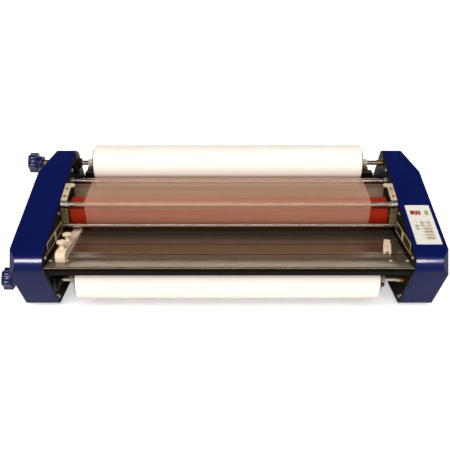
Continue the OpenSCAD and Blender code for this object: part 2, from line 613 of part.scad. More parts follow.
// ---- mains entry in the right cover's back ----
pe = [fx + 23.5, 346, 58];
rocker = [339.5, 86.5];
module power_entry() {
  color([0.05, 0.05, 0.05]) difference() {
    union() {
      translate([pe[0] - 16, pe[1] + 0.1, 29]) cube([32, 2, 80]);
      block([pe[0] - 13.6, pe[1] - 22, 34], [pe[0] + 13.6, pe[1] + 0.2, 104]);
    }
    block([pe[0] - 10, pe[1] - 16, 39], [pe[0] + 10, pe[1] + 6, 66]);
    block([pe[0] - 9.3, pe[1] - 14.6, 72.4], [pe[0] + 9.3, pe[1] + 6, 100.9]);
  }
  // pivot of the rocker
  color([0.05, 0.05, 0.05]) xcyl(1.55, pe[0] - 10.5, pe[0] + 10.5, rocker);
  color([0.75, 0.75, 0.75]) for (z = [45, 52.5, 60]) block([pe[0] - (z == 52.5 ? 2 : -1) - 2, pe[1] - 16.5, z - 1], [pe[0] - (z == 52.5 ? 2 : -1) + 2, pe[1] - 2, z + 1]);
}
module power_switch() {
  color([0.35, 0.03, 0.03]) difference() {
    xext(pe[0] - 8.8, pe[0] + 8.8) polygon([[336, 76], [336, 97], [345, 97.4], [350.6, 96.8], [347.2, 86.5], [346.6, 75.8]]);
    xcyl(1.6, pe[0] - 10, pe[0] + 10, rocker);
  }
}

// ---- feet and fixings ----
frame_screws = [[-45.2, 143.8], [-12.9, 28.9], [160, 118], [232, 160], [40, 96], [320, 60]];
module fasteners_and_feet() {
  color([0.06, 0.06, 0.06]) both_sides() for (y = [40, 304]) translate([fx + 19.5, y, -foot_h]) {
    difference() {
      union() {
        translate([0, 0, 2]) cylinder(r = 14, h = foot_h + 0.2);
        cylinder(r = 12.5, h = 2.01);
        translate([0.5, 0, 5]) cylinder(r = 3, h = foot_h + 3.2);
      }
      translate([0, 0, -1]) cylinder(r = 5, h = 4);
    }
    translate([0.5, 0, foot_h + 5.7]) cylinder(r = 5.5, h = 3, $fn = 6);
    translate([0.5, 0, foot_h + 5]) cylinder(r = 3, h = 1);
  }
  color([0.66, 0.62, 0.52]) both_sides() {
    for (c = screw_yz) {
      xcyl(4, fx - 2.2, fx - 0.1, c);
      xcyl(1.65, fx - 0.2, fx + 5, c);
    }
    for (c = frame_screws) xcyl(3, fx - 1.6, fx - 0.1, c);
    translate([fx - 6.8, 94, 207]) for (y = [12, 38]) translate([0, y * cos(slope), y * sin(slope)]) rotate([slope, 0, 0]) {
      translate([0, 0, 0.1]) cylinder(r = 3.6, h = 2);
      translate([0, 0, -5]) cylinder(r = 2, h = 5.2);
    }
    translate([fx - 8, 83.9, 185.5]) rotate([90, 0, 0]) cylinder(r = 3.2, h = 2);
    translate([fx - 8, 88.5, 185.5]) rotate([90, 0, 0]) cylinder(r = 1.6, h = 5);
  }
  color([0.66, 0.62, 0.52]) for (x = table_screws) {
    translate([x, -45, table_z - 1.5]) cylinder(r = 3.5, h = 1.6);
    translate([x, -45, table_z - 12.2]) cylinder(r = 1.6, h = 11.2);
  }
}

on_machine() {
  left_side_frame();
  right_side_frame();
  left_cover();
  right_cover();
  chassis_pan();
  rear_hood();
  feed_table();
  nip_guard_bar();
  idler_brackets();
  upper_idler_bar();
  rear_idler_bar();
  lower_idler_bar();
  upper_roller_sleeve();
  upper_roller_shaft();
  lower_roller_sleeve();
  lower_roller_shaft();
  bronze_bushes();
  pressure_springs();
  heater_rods();
  upper_pull_roller();
  lower_pull_roller();
  drive_plate();
  drive_motor();
  motor_pinion();
  idler_gear();
  upper_brake_hub();
  upper_mandrel();
  upper_core_chucks();
  upper_film_roll();
  upper_tension_knob();
  lower_brake_hub();
  lower_mandrel();
  lower_core_chucks();
  lower_film_roll();
  lower_tension_knob();
  upper_film_web();
  lower_film_web();
  paper_guide();
  guide_screw_front();
  guide_screw_rear();
  right_stop();
  control_panel();
  display_windows();
  control_board();
  left_key(1);  // left_key_1
  left_key(2);  // left_key_2
  left_key(3);  // left_key_3
  middle_key(1);  // middle_key_1
  middle_key(2);  // middle_key_2
  right_key(1);  // right_key_1
  right_key(2);  // right_key_2
  wide_key(1);  // wide_key_1
  wide_key(2);  // wide_key_2
  wide_key(3);  // wide_key_3
  wide_key(4);  // wide_key_4
  fan_housing();
  fan_rotor();
  power_entry();
  power_switch();
  fasteners_and_feet();
}
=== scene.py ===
import math

import bmesh
import bpy
from mathutils import Matrix, Vector


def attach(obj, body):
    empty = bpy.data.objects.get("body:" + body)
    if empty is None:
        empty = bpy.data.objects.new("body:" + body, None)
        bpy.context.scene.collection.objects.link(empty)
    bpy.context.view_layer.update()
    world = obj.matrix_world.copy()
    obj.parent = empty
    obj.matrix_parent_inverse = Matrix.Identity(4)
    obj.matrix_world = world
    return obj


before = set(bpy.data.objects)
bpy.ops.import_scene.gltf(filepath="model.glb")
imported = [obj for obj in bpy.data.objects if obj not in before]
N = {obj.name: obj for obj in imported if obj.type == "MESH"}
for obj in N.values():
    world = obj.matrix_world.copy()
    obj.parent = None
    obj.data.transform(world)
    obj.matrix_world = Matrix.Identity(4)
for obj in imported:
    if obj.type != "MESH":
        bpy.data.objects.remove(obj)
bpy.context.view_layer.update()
OFF = Vector((17.8, -135.0, 10.0))
FX = 372.0
SLOPE = math.atan2(266.1 - 140, 279 + 86.4)


def P(x, y, z):
    """A point given in millimetres from the machine's own front lower corner line."""
    return (Vector((x, y, z)) + OFF) / 1000


# ---------------------------------------------------------------- camera
cam = bpy.data.objects.new("camera", bpy.data.cameras.new("camera"))
bpy.context.scene.collection.objects.link(cam)
cam.data.lens = 48
cam.data.sensor_width = 36
cam.data.shift_x = -4 / 450
cam.location = (0.0178, -1.2741, 0.7054)
cam.rotation_euler = (math.radians(66), 0, 0)
cam.data.clip_end = 200
bpy.context.scene.camera = cam
bpy.context.scene.view_settings.view_transform = "Standard"


# ---------------------------------------------------------------- materials
def nodes_of(mat):
    mat.use_nodes = True
    nt = mat.node_tree
    nt.nodes.clear()
    out = nt.nodes.new("ShaderNodeOutputMaterial")
    bsdf = nt.nodes.new("ShaderNodeBsdfPrincipled")
    nt.links.new(bsdf.outputs[0], out.inputs[0])
    return nt, bsdf


def tex_coord(nt, scale=(1, 1, 1), rot=(0, 0, 0)):
    tc = nt.nodes.new("ShaderNodeTexCoord")
    mp = nt.nodes.new("ShaderNodeMapping")
    mp.inputs["Scale"].default_value = scale
    mp.inputs["Rotation"].default_value = rot
    nt.links.new(tc.outputs["Object"], mp.inputs["Vector"])
    return mp.outputs[0]


def noise(nt, vec, scale, detail=3.0, rough=0.55, distort=0.0):
    n = nt.nodes.new("ShaderNodeTexNoise")
    n.inputs["Scale"].default_value = scale
    n.inputs["Detail"].default_value = detail
    n.inputs["Roughness"].default_value = rough
    n.inputs["Distortion"].default_value = distort
    nt.links.new(vec, n.inputs["Vector"])
    return n.outputs["Fac"]


def ramp(nt, fac, stops):
    r = nt.nodes.new("ShaderNodeValToRGB")
    els = r.color_ramp.elements
    while len(els) < len(stops):
        els.new(0.5)
    for e, (p, c) in zip(els, stops):
        e.position = p
        e.color = tuple(c) + ((1,) if len(c) == 3 else ())
    nt.links.new(fac, r.inputs["Fac"])
    return r.outputs["Color"]


def maprange(nt, fac, lo, hi, a=0.3, b=0.7):
    m = nt.nodes.new("ShaderNodeMapRange")
    m.inputs["From Min"].default_value = a
    m.inputs["From Max"].default_value = b
    m.inputs["To Min"].default_value = lo
    m.inputs["To Max"].default_value = hi
    nt.links.new(fac, m.inputs["Value"])
    return m.outputs["Result"]


def math_node(nt, op, a, b=None):
    m = nt.nodes.new("ShaderNodeMath")
    m.operation = op
    for i, v in enumerate((a, b)):
        if v is None:
            continue
        if isinstance(v, (int, float)):
            m.inputs[i].default_value = v
        else:
            nt.links.new(v, m.inputs[i])
    return m.outputs[0]


def bump(nt, bsdf, height, strength, dist, prev=None):
    b = nt.nodes.new("ShaderNodeBump")
    b.inputs["Strength"].default_value = strength
    b.inputs["Distance"].default_value = dist
    nt.links.new(height, b.inputs["Height"])
    if prev is not None:
        nt.links.new(prev, b.inputs["Normal"])
    nt.links.new(b.outputs[0], bsdf.inputs["Normal"])
    return b.outputs[0]


MATS = {}


def make(name, base, rough, metal=0.0, vary=0.12, vscale=30, rough_span=0.08, grain=900, grain_h=0.00004, grain_s=0.25,
         stretch=(1, 1, 1), coat=0.0, coat_rough=0.06, alpha=1.0, ior=1.5, specks=0.0, spec=0.25, sss=0.0, emit=None):
    """Paint, plastic, metal or rubber: broad colour variation, uneven roughness, a surface grain and optional specks.
    """
    mat = bpy.data.materials.new(name)
    nt, b = nodes_of(mat)
    vec = tex_coord(nt, stretch)
    plain = tex_coord(nt)
    broad = noise(nt, plain, vscale, 4)
    fine = noise(nt, vec, grain, 3, 0.6)
    dark = [c * (1 - vary) for c in base]
    lite = [min(1, c * (1 + vary)) for c in base]
    col = ramp(nt, broad, [(0.3, dark), (0.7, lite)])
    if specks:
        v = nt.nodes.new("ShaderNodeTexVoronoi")
        v.inputs["Scale"].default_value = 260
        nt.links.new(plain, v.inputs["Vector"])
        dots = maprange(nt, v.outputs["Distance"], specks, 0, 0.02, 0.10)
        mx = nt.nodes.new("ShaderNodeMix")
        mx.data_type = "RGBA"
        nt.links.new(dots, mx.inputs["Factor"])
        nt.links.new(col, mx.inputs["A"])
        mx.inputs["B"].default_value = (0.35, 0.33, 0.30, 1)
        col = mx.outputs["Result"]
    nt.links.new(col, b.inputs["Base Color"])
    b.inputs["Metallic"].default_value = metal
    nt.links.new(maprange(nt, noise(nt, vec, grain * 0.3, 3), max(0.02, rough - rough_span), rough + rough_span), b.inputs["Roughness"])
    b.inputs["IOR"].default_value = ior
    b.inputs["Specular IOR Level"].default_value = 0.5 if metal > 0.3 else spec
    b.inputs["Coat Weight"].default_value = coat
    b.inputs["Coat Roughness"].default_value = coat_rough
    b.inputs["Alpha"].default_value = alpha
    if sss:
        b.inputs["Subsurface Weight"].default_value = sss
        b.inputs["Subsurface Scale"].default_value = 0.002
    if emit:
        b.inputs["Emission Color"].default_value = tuple(emit[0]) + (1,)
        b.inputs["Emission Strength"].default_value = emit[1]
    bump(nt, b, fine, grain_s, grain_h)
    MATS[name] = mat
    return mat


# painted and plated metal
make("cover_blue", (0.0002, 0.0048, 0.070), 0.34, vary=0.10, vscale=9, grain=700, grain_h=0.00003, grain_s=0.06, coat=0.12, coat_rough=0.12, rough_span=0.04, spec=0.05)
make("frame_black", (0.008, 0.006, 0.004), 0.5, vary=0.25, vscale=25, grain=1700, grain_h=0.00006, grain_s=0.5, coat=0.0, spec=0.12)
make("chassis_black", (0.012, 0.010, 0.008), 0.5, vary=0.2, grain=1500, grain_h=0.00006, grain_s=0.5, spec=0.1)
# the hood's base colour is lightened past its own dark bronze, a painted reflection of the white film roll seen in the
# clear web lying over it
make("hood_bronze", (0.44, 0.30, 0.205), 0.38, metal=0.2, vary=0.04, vscale=6, grain=1100, grain_h=0.00003, grain_s=0.15, rough_span=0.03, stretch=(0.05, 1, 1))
make("zinc_gold", (0.72, 0.58, 0.41), 0.36, metal=0.35, vary=0.22, vscale=60, grain=1300, grain_s=0.3)
make("steel", (0.55, 0.52, 0.48), 0.27, metal=1.0, vary=0.12, vscale=40, grain=900, grain_s=0.25, stretch=(0.08, 1, 1))
make("gear_steel", (0.45, 0.44, 0.42), 0.33, metal=1.0, vary=0.15, grain=800, grain_s=0.3)
# the bars' base colour is tinted warm red, a painted reflection of the red rollers beside them
make("bar_chrome", (0.74, 0.60, 0.53), 0.26, metal=1.0, vary=0.03, vscale=15, grain=400, grain_h=0.000001, grain_s=0.0, rough_span=0.01, stretch=(0.06, 1, 1))
make("white_zinc", (0.80, 0.79, 0.76), 0.22, metal=0.9, vary=0.08, grain=1200, grain_s=0.2)
make("bronze", (0.62, 0.42, 0.16), 0.30, metal=1.0, vary=0.18, vscale=80, grain=1200, grain_s=0.3)
make("olive_plate", (0.15, 0.125, 0.062), 0.38, metal=0.3, vary=0.2, grain=1300, grain_s=0.3)
# rubber and plastics
make("silicone_red", (0.26, 0.014, 0.001), 0.40, vary=0.10, vscale=35, grain=1400, grain_h=0.00002, grain_s=0.15, coat=0.05, coat_rough=0.2, spec=0.12)
make("black_rubber", (0.014, 0.014, 0.014), 0.62, vary=0.3, grain=1600, grain_h=0.00006, grain_s=0.6)
make("hub_black", (0.006, 0.005, 0.005), 0.34, vary=0.3, grain=900, grain_s=0.3, coat=0.05, coat_rough=0.15, spec=0.15)
make("gear_nylon", (0.72, 0.69, 0.58), 0.42, vary=0.06, grain=700, grain_s=0.2, sss=0.1)
make("chuck_tan", (0.50, 0.40, 0.29), 0.38, vary=0.18, vscale=60, grain=1100, grain_s=0.3)
make("knurl_brown", (0.16, 0.11, 0.075), 0.40, metal=0.6, vary=0.25, vscale=90, grain=500, grain_h=0.0002, grain_s=0.9)
make("knob_blue", (0.0025, 0.008, 0.075), 0.22, vary=0.12, vscale=30, grain=600, grain_s=0.12, coat=0.7, coat_rough=0.06)
make("guide_cream", (0.74, 0.60, 0.44), 0.40, vary=0.06, vscale=25, grain=1000, grain_h=0.00005, grain_s=0.3, sss=0.05)
make("panel_white", (0.70, 0.68, 0.64), 0.32, vary=0.04, vscale=20, grain=1800, grain_h=0.00002, grain_s=0.3, coat=0.15, coat_rough=0.2)
make("key_white", (0.78, 0.77, 0.75), 0.34, vary=0.04, grain=1600, grain_s=0.25)
make("key_beige", (0.50, 0.43, 0.33), 0.38, vary=0.06, grain=1600, grain_s=0.25)
# near-black painted shade, laid on the table's plank grooves and on the underside of its front nose
make("painted_shade_dark", (0.004, 0.003, 0.002), 0.7, metal=0.0, vary=0.2, grain=900, spec=0.03)
make("bead_bronze", (0.36, 0.29, 0.22), 0.20, metal=0.95, vary=0.05, grain=300, grain_h=0.000001, grain_s=0.0, rough_span=0.01, stretch=(0.04, 1, 1))
make("screw_bright", (0.80, 0.70, 0.56), 0.30, metal=0.2, vary=0.1, grain=1200, grain_s=0.1)
make("screw_dark", (0.26, 0.19, 0.12), 0.34, metal=0.3, vary=0.2, grain=1200, grain_s=0.2)
make("ink_dark", (0.03, 0.028, 0.03), 0.5, vary=0.2, grain=2000, grain_s=0.2)
make("ink_grey", (0.30, 0.29, 0.30), 0.5, vary=0.15, grain=2000, grain_s=0.2)
make("ink_yellow", (0.78, 0.58, 0.20), 0.42, vary=0.12, grain=1500, grain_s=0.2)
make("label_dark", (0.030, 0.026, 0.022), 0.34, vary=0.2, grain=1500, grain_s=0.2, coat=0.3)
make("label_pale", (0.88, 0.80, 0.72), 0.36, vary=0.1, grain=1500, grain_s=0.2, coat=0.3)
make("window_red", (0.15, 0.014, 0.010), 0.16, vary=0.1, grain=900, grain_s=0.05, coat=0.6)
make("window_green", (0.09, 0.13, 0.015), 0.16, vary=0.1, grain=900, grain_s=0.05, coat=0.6)
make("led_red", (0.75, 0.28, 0.22), 0.4, vary=0.05, emit=((1.0, 0.22, 0.14), 0.55))
make("led_green", (0.50, 0.60, 0.04), 0.4, vary=0.05, emit=((0.65, 1.0, 0.08), 0.55))
make("board_green", (0.012, 0.10, 0.035), 0.4, vary=0.3, vscale=120, grain=900, grain_s=0.3)
make("motor_grey", (0.09, 0.09, 0.095), 0.45, metal=0.4, vary=0.2, grain=700, grain_h=0.0002, grain_s=0.5)
make("switch_red", (0.30, 0.012, 0.010), 0.25, vary=0.08, grain=900, grain_s=0.15, coat=0.3)


def film_wound():
    """Wound film: milky white face with faint bands along it, and fine layer rings at the ends."""
    mat = bpy.data.materials.new("film_white")
    nt, b = nodes_of(mat)
    tc = nt.nodes.new("ShaderNodeTexCoord")
    sep = nt.nodes.new("ShaderNodeSeparateXYZ")
    nt.links.new(tc.outputs["Object"], sep.inputs[0])
    def radius(c):
        p = P(0, *c)
        dy = math_node(nt, "SUBTRACT", sep.outputs[1], p.y)
        dz = math_node(nt, "SUBTRACT", sep.outputs[2], p.z)
        return math_node(nt, "SQRT", math_node(nt, "ADD", math_node(nt, "MULTIPLY", dy, dy), math_node(nt, "MULTIPLY", dz, dz)))
    r = math_node(nt, "MINIMUM", radius((253.5, 241)), radius((-9.3, 66.6)))
    cmb = nt.nodes.new("ShaderNodeCombineXYZ")
    nt.links.new(r, cmb.inputs[0])
    rings = noise(nt, cmb.outputs[0], 1400, 2, 0.5)
    broad = noise(nt, tex_coord(nt, (1.2, 9, 9)), 3.0, 3, 0.5)
    face = ramp(nt, broad, [(0.25, (0.80, 0.755, 0.70)), (0.5, (0.825, 0.785, 0.735)), (0.8, (0.85, 0.815, 0.77))])
    ends = ramp(nt, rings, [(0.35, (0.62, 0.56, 0.48)), (0.65, (0.86, 0.82, 0.76))])
    geo = nt.nodes.new("ShaderNodeNewGeometry")
    sn = nt.nodes.new("ShaderNodeSeparateXYZ")
    nt.links.new(geo.outputs["Normal"], sn.inputs[0])
    is_end = math_node(nt, "GREATER_THAN", math_node(nt, "ABSOLUTE", sn.outputs[0]), 0.7)
    mx = nt.nodes.new("ShaderNodeMix")
    mx.data_type = "RGBA"
    nt.links.new(is_end, mx.inputs["Factor"])
    nt.links.new(face, mx.inputs["A"])
    nt.links.new(ends, mx.inputs["B"])
    nt.links.new(mx.outputs["Result"], b.inputs["Base Color"])
    nt.links.new(maprange(nt, broad, 0.24, 0.40), b.inputs["Roughness"])
    b.inputs["Coat Weight"].default_value = 0.35
    b.inputs["Coat Roughness"].default_value = 0.14
    b.inputs["Subsurface Weight"].default_value = 0.15
    b.inputs["Subsurface Scale"].default_value = 0.004
    bump(nt, b, rings, 0.3, 0.00006)
    MATS["film_white"] = mat


def film_clear():
    """Clear laminating film under tension: see-through, glossy, with soft bands running across the machine."""
    mat = bpy.data.materials.new("film_clear")
    nt, b = nodes_of(mat)
    streak = noise(nt, tex_coord(nt, (40, 0.8, 0.8)), 4.0, 4, 0.5)
    across = noise(nt, tex_coord(nt, (0.5, 40, 40)), 3.0, 5, 0.6)
    # the warm orange-pink base colour is painted bounce light from the red roller and a painted reflection of the white
    # film roll; the clear film itself is near colourless
    nt.links.new(ramp(nt, across, [(0.3, (0.74, 0.42, 0.28)), (0.7, (0.86, 0.53, 0.37))]), b.inputs["Base Color"])
    nt.links.new(maprange(nt, across, 0.09, 0.15), b.inputs["Roughness"])
    nt.links.new(maprange(nt, across, 0.20, 0.25), b.inputs["Alpha"])
    b.inputs["Coat Weight"].default_value = 0.4
    b.inputs["Coat Roughness"].default_value = 0.08
    bump(nt, b, across, 0.006, 0.0001)
    MATS["film_clear"] = mat


def anodised():
    """Dark bronze anodised extrusion: fine die lines along X and patches of different sheen."""
    mat = bpy.data.materials.new("table_bronze")
    nt, b = nodes_of(mat)
    lines = noise(nt, tex_coord(nt, (1.5, 520, 520)), 2.0, 6, 0.65)
    broad = noise(nt, tex_coord(nt, (0.5, 3, 3)), 5.0, 4, 0.6)
    both = math_node(nt, "ADD", math_node(nt, "MULTIPLY", lines, 0.55), math_node(nt, "MULTIPLY", broad, 0.45))
    nt.links.new(ramp(nt, both, [(0.32, (0.300, 0.275, 0.210)), (0.5, (0.335, 0.310, 0.240)), (0.7, (0.370, 0.345, 0.270))]), b.inputs["Base Color"])
    b.inputs["Metallic"].default_value = 0.92
    nt.links.new(maprange(nt, both, 0.22, 0.36), b.inputs["Roughness"])
    bump(nt, b, lines, 0.15, 0.00003)
    MATS["table_bronze"] = mat


film_wound()
film_clear()
anodised()

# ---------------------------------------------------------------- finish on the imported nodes
SMOOTH = None


def smooth_group():
    g = bpy.data.node_groups.new("shade_by_angle", "GeometryNodeTree")
    g.interface.new_socket("Geometry", in_out="INPUT", socket_type="NodeSocketGeometry")
    g.interface.new_socket("Geometry", in_out="OUTPUT", socket_type="NodeSocketGeometry")
    gi = g.nodes.new("NodeGroupInput")
    go = g.nodes.new("NodeGroupOutput")
    f = g.nodes.new("GeometryNodeSetShadeSmooth")
    f.domain = "FACE"
    f.inputs["Shade Smooth"].default_value = True
    e = g.nodes.new("GeometryNodeSetShadeSmooth")
    e.domain = "EDGE"
    e.inputs["Shade Smooth"].default_value = False
    ang = g.nodes.new("GeometryNodeInputMeshEdgeAngle")
    cmp = g.nodes.new("FunctionNodeCompare")
    cmp.data_type = "FLOAT"
    cmp.operation = "GREATER_THAN"
    cmp.inputs[1].default_value = math.radians(24)
    g.links.new(ang.outputs["Unsigned Angle"], cmp.inputs[0])
    g.links.new(cmp.outputs[0], e.inputs["Selection"])
    g.links.new(gi.outputs[0], f.inputs["Geometry"])
    g.links.new(f.outputs[0], e.inputs["Geometry"])
    g.links.new(e.outputs[0], go.inputs[0])
    return g


SMOOTH = smooth_group()


def finish_mesh(o, bevel=0.0):
    me = o.data
    for a in ("custom_normal",):
        if a in me.attributes:
            me.attributes.remove(me.attributes[a])
    w = o.modifiers.new("weld", "WELD")
    w.merge_threshold = 2e-6
    if bevel:
        b = o.modifiers.new("bevel", "BEVEL")
        b.width = bevel
        b.segments = 2
        b.limit_method = "ANGLE"
        b.angle_limit = math.radians(32)
    m = o.modifiers.new("shade", "NODES")
    m.node_group = SMOOTH


def dress(name, mat, rules=(), bevel=0.0):
    """Gives a node its material, and single faces another one where a rule (on the face's centre in mm) says so."""
    o = N[name]
    me = o.data
    me.materials.clear()
    me.materials.append(MATS[mat])
    for k, (_, m) in enumerate(rules):
        me.materials.append(MATS[m])
    for p in me.polygons:
        p.material_index = 0
        if rules:
            c = p.center * 1000 - OFF
            for k, (test, _) in enumerate(rules):
                if test(c):
                    p.material_index = k + 1
                    break
    finish_mesh(o, bevel)


def rad(c, axis):
    return math.hypot(c.y - axis[0], c.z - axis[1])


AX = dict(ur=(253.5, 241), lr=(-9.3, 66.6), uh=(129, 164), lh=(129, 94), up=(275, 145), lp=(275, 113), fi=(92, 197.4), ri=(196, 215), li=(92, 61))
for n in ("left_cover", "right_cover"):
    dress(n, "cover_blue")
for n in ("left_side_frame", "right_side_frame"):
    dress(n, "frame_black")
dress("chassis_pan", "chassis_black")
dress("rear_hood", "hood_bronze", [(lambda c: c.y > 216.5, "frame_black")])
# the plank grooves, the thin groove line on the nose and the nose's lower lip are painted near-black as shade in these
# recesses and under the bead
dress("feed_table", "table_bronze", [(lambda c: 127.9 > c.z > 115 and min(abs(c.y - g) for g in (-17.8, 33, 83.8)) < 2.3, "painted_shade_dark"),
    (lambda c: c.y < -69.5 and c.z < 126.4, "painted_shade_dark"),
    (lambda c: abs(c.y + 68.55) < 0.2, "painted_shade_dark"),
    (lambda c: c.y < -72.7 and c.z > 126.4, "bead_bronze")])
for n in ("nip_guard_bar", "upper_idler_bar", "rear_idler_bar", "lower_idler_bar"):
    dress(n, "bar_chrome")
dress("idler_brackets", "zinc_gold", [
    (lambda c: min(rad(c, AX["fi"]) - 6.3, rad(c, AX["ri"]) - 8.3, rad(c, AX["li"]) - 8.3) < 0 and c.z < 212, "white_zinc"),
    (lambda c: rad(c, AX["ri"]) < 8.3, "white_zinc"),
    (lambda c: c.z < 192, "olive_plate")])
for n in ("upper_roller_sleeve", "lower_roller_sleeve"):
    dress(n, "silicone_red")
for n in ("upper_roller_shaft", "lower_roller_shaft"):
    dress(n, "steel", [(lambda c: c.x > FX + 6, "gear_steel")])
dress("bronze_bushes", "bronze")
dress("pressure_springs", "steel")
dress("heater_rods", "steel")
for n, a in (("upper_pull_roller", "up"), ("lower_pull_roller", "lp")):
    dress(n, "black_rubber", [(lambda c: c.x > FX + 6, "gear_nylon"), (lambda c, a=a: rad(c, AX[a]) < 6, "steel")])
dress("drive_plate", "steel")
dress("drive_motor", "motor_grey")
dress("motor_pinion", "bronze")
dress("idler_gear", "gear_nylon")
for n, a in (("upper_brake_hub", "ur"), ("lower_brake_hub", "lr")):
    dress(n, "hub_black", [(lambda c, a=a: c.x < -FX and rad(c, AX[a]) < 6.3, "steel"), (lambda c: c.x < -FX - 8, "gear_steel")])
for n in ("upper_mandrel", "lower_mandrel"):
    dress(n, "steel")
for n, a in (("upper_core_chucks", "ur"), ("lower_core_chucks", "lr")):
    dress(n, "chuck_tan", [(lambda c, a=a: rad(c, AX[a]) > 12.9 and -320.9 > c.x - 0 > -325 or 314 < c.x < 318.4 and rad(c, AX[a]) > 12.9, "hub_black"),
                           (lambda c, a=a: rad(c, AX[a]) > 10.5 and abs(c.x + 3) > 323.6, "knurl_brown")])
for n in ("upper_film_roll", "lower_film_roll"):
    dress(n, "film_white")
for n in ("upper_tension_knob", "lower_tension_knob"):
    dress(n, "knob_blue", bevel=0.0006)
for n in ("upper_film_web", "lower_film_web"):
    dress(n, "film_clear")
for n in ("paper_guide", "guide_screw_front", "guide_screw_rear", "right_stop"):
    dress(n, "guide_cream", bevel=0.0005)
dress("control_panel", "panel_white")
dress("display_windows", "window_red", [(lambda c: c.x > 417, "window_green")])
dress("control_board", "board_green")
for n in N:
    if "_key_" in n:
        dress(n, "key_white" if n == "left_key_1" else "key_beige")
dress("fan_housing", "hub_black")
dress("fan_rotor", "hub_black")
dress("power_entry", "hub_black", [(lambda c: 43.5 < c.z < 61.5 and abs(c.x - 395.5) < 5 and c.y > 329.6, "white_zinc")])
dress("power_switch", "switch_red")
dress("fasteners_and_feet", "white_zinc", [(lambda c: abs(c.x) < FX - 2 and c.y < -40 and c.z > 110, "screw_bright"),
                                           (lambda c: abs(c.x) < FX - 3.5 and 150 < c.z < 192 and c.y < 100, "bronze"), (lambda c: abs(c.x) > FX + 5 and c.z < 2.4, "black_rubber"), (lambda c: abs(c.x) > FX + 5, "steel"),
                                           (lambda c: c.z > 190 and c.z < 236 and c.y < 150, "screw_dark")])


# ---------------------------------------------------------------- added pieces
def piece(name, bm, mat, body, smooth=True, recalc=True):
    me = bpy.data.meshes.new(name)
    if recalc:
        bmesh.ops.recalc_face_normals(bm, faces=bm.faces)
    bm.to_mesh(me)
    bm.free()
    o = bpy.data.objects.new(name, me)
    bpy.context.scene.collection.objects.link(o)
    me.materials.append(MATS[mat])
    if smooth:
        m = o.modifiers.new("shade", "NODES")
        m.node_group = SMOOTH
    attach(o, body)
    return o


def prism(bm, outline, matrix, z0, z1, chamfer=0.0):
    """A flat shape with this outline (mm), from z0 to z1, its top edge chamfered, placed by matrix."""
    cx = sum(p[0] for p in outline) / len(outline)
    cy = sum(p[1] for p in outline) / len(outline)
    rings = []
    for z, inset in ((z0, 0), (z1 - chamfer, 0), (z1, chamfer)):
        ring = []
        for x, y in outline:
            d = math.hypot(x - cx, y - cy)
            k = (d - inset) / d if d else 1
            ring.append(bm.verts.new(matrix @ (Vector((cx + (x - cx) * k, cy + (y - cy) * k, z)) / 1000)))
        rings.append(ring)
    n = len(outline)
    for a, b in zip(rings, rings[1:]):
        for i in range(n):
            bm.faces.new((a[i], a[(i + 1) % n], b[(i + 1) % n], b[i]))
    bm.faces.new(list(reversed(rings[0])))
    bm.faces.new(rings[-1])


def rounded_rect(x0, y0, x1, y1, r, n=4):
    pts = []
    for cx, cy, a0 in ((x1 - r, y1 - r, 0), (x0 + r, y1 - r, 90), (x0 + r, y0 + r, 180), (x1 - r, y0 + r, 270)):
        for k in range(n + 1):
            a = math.radians(a0 + 90 * k / n)
            pts.append((cx + r * math.cos(a), cy + r * math.sin(a)))
    return pts


PANEL = Matrix.Translation(P(411.2, 25, 178.44)) @ Matrix.Rotation(SLOPE, 4, "X")

# seven-segment digits, behind the two windows' faces
SEG = {"a": (0, 1, 1, 1), "b": (1, 1, 1, 0.5), "c": (1, 0.5, 1, 0), "d": (0, 0, 1, 0), "e": (0, 0.5, 0, 0), "f": (0, 1, 0, 0.5), "g": (0, 0.5, 1, 0.5)}
DIGIT = {"0": "abcdef", "1": "bc", "2": "abged", "3": "abgcd", "4": "fgbc", "5": "afgcd", "8": "abcdefg"}


def digit(bm, ch, x, y, w, h, t, z0, z1):
    for s in DIGIT[ch]:
        ax, ay, bx, by = SEG[s]
        lean = 0.10 * h
        p = Vector((x + ax * w + ay * lean, y + ay * h))
        q = Vector((x + bx * w + by * lean, y + by * h))
        d = (q - p).normalized()
        p, q = p + d * t * 0.62, q - d * t * 0.62
        s2 = Vector((-d.y, d.x)) * t / 2
        tip = d * t * 0.5
        out = [p - tip, p - s2, q - s2, q + tip, q + s2, p + s2]
        prism(bm, [tuple(v) for v in out], PANEL, z0, z1, 0.03)


bm = bmesh.new()
for i, ch in enumerate("120"):
    digit(bm, ch, -16.6 + i * 6.3, 32.6, 3.7, 7.2, 0.95, 1.50, 1.60)
piece("display_digits_red", bm, "led_red", "machine")
bm = bmesh.new()
digit(bm, "5", 13.9, 32.6, 3.3, 7.2, 0.9, 1.50, 1.60)
piece("display_digit_green", bm, "led_green", "machine")

# printed rules and status marks on the overlay
bm = bmesh.new()
prism(bm, rounded_rect(-23.6, 25.2, 23.6, 25.8, 0.25), PANEL, 1.38, 1.44, 0.01)
for c in ((-13.4, 8.6), (-0.6, 10.2), (12.4, 10.2)):
    prism(bm, rounded_rect(c[0] - 4, c[1] - 0.5, c[0] + 4, c[1] + 0.5, 0.45), PANEL, 1.38, 1.44, 0.01)
piece("panel_rules", bm, "ink_grey", "machine")
bm = bmesh.new()
for y in (-14.2, -23.8, -33.4, -43):
    prism(bm, rounded_rect(-7.2, y - 0.9, -5.4, y + 0.9, 0.88), PANEL, 1.38, 1.50, 0.03)
piece("panel_lamps", bm, "ink_dark", "machine")


def arrow(cx, cy, r, turn):
    return [(cx + r * math.cos(math.radians(a + turn)), cy + r * math.sin(math.radians(a + turn))) for a in (90, 210, 330)]


def disc(cx, cy, r, n=20):
    return [(cx + r * math.cos(2 * math.pi * k / n), cy + r * math.sin(2 * math.pi * k / n)) for k in range(n)]


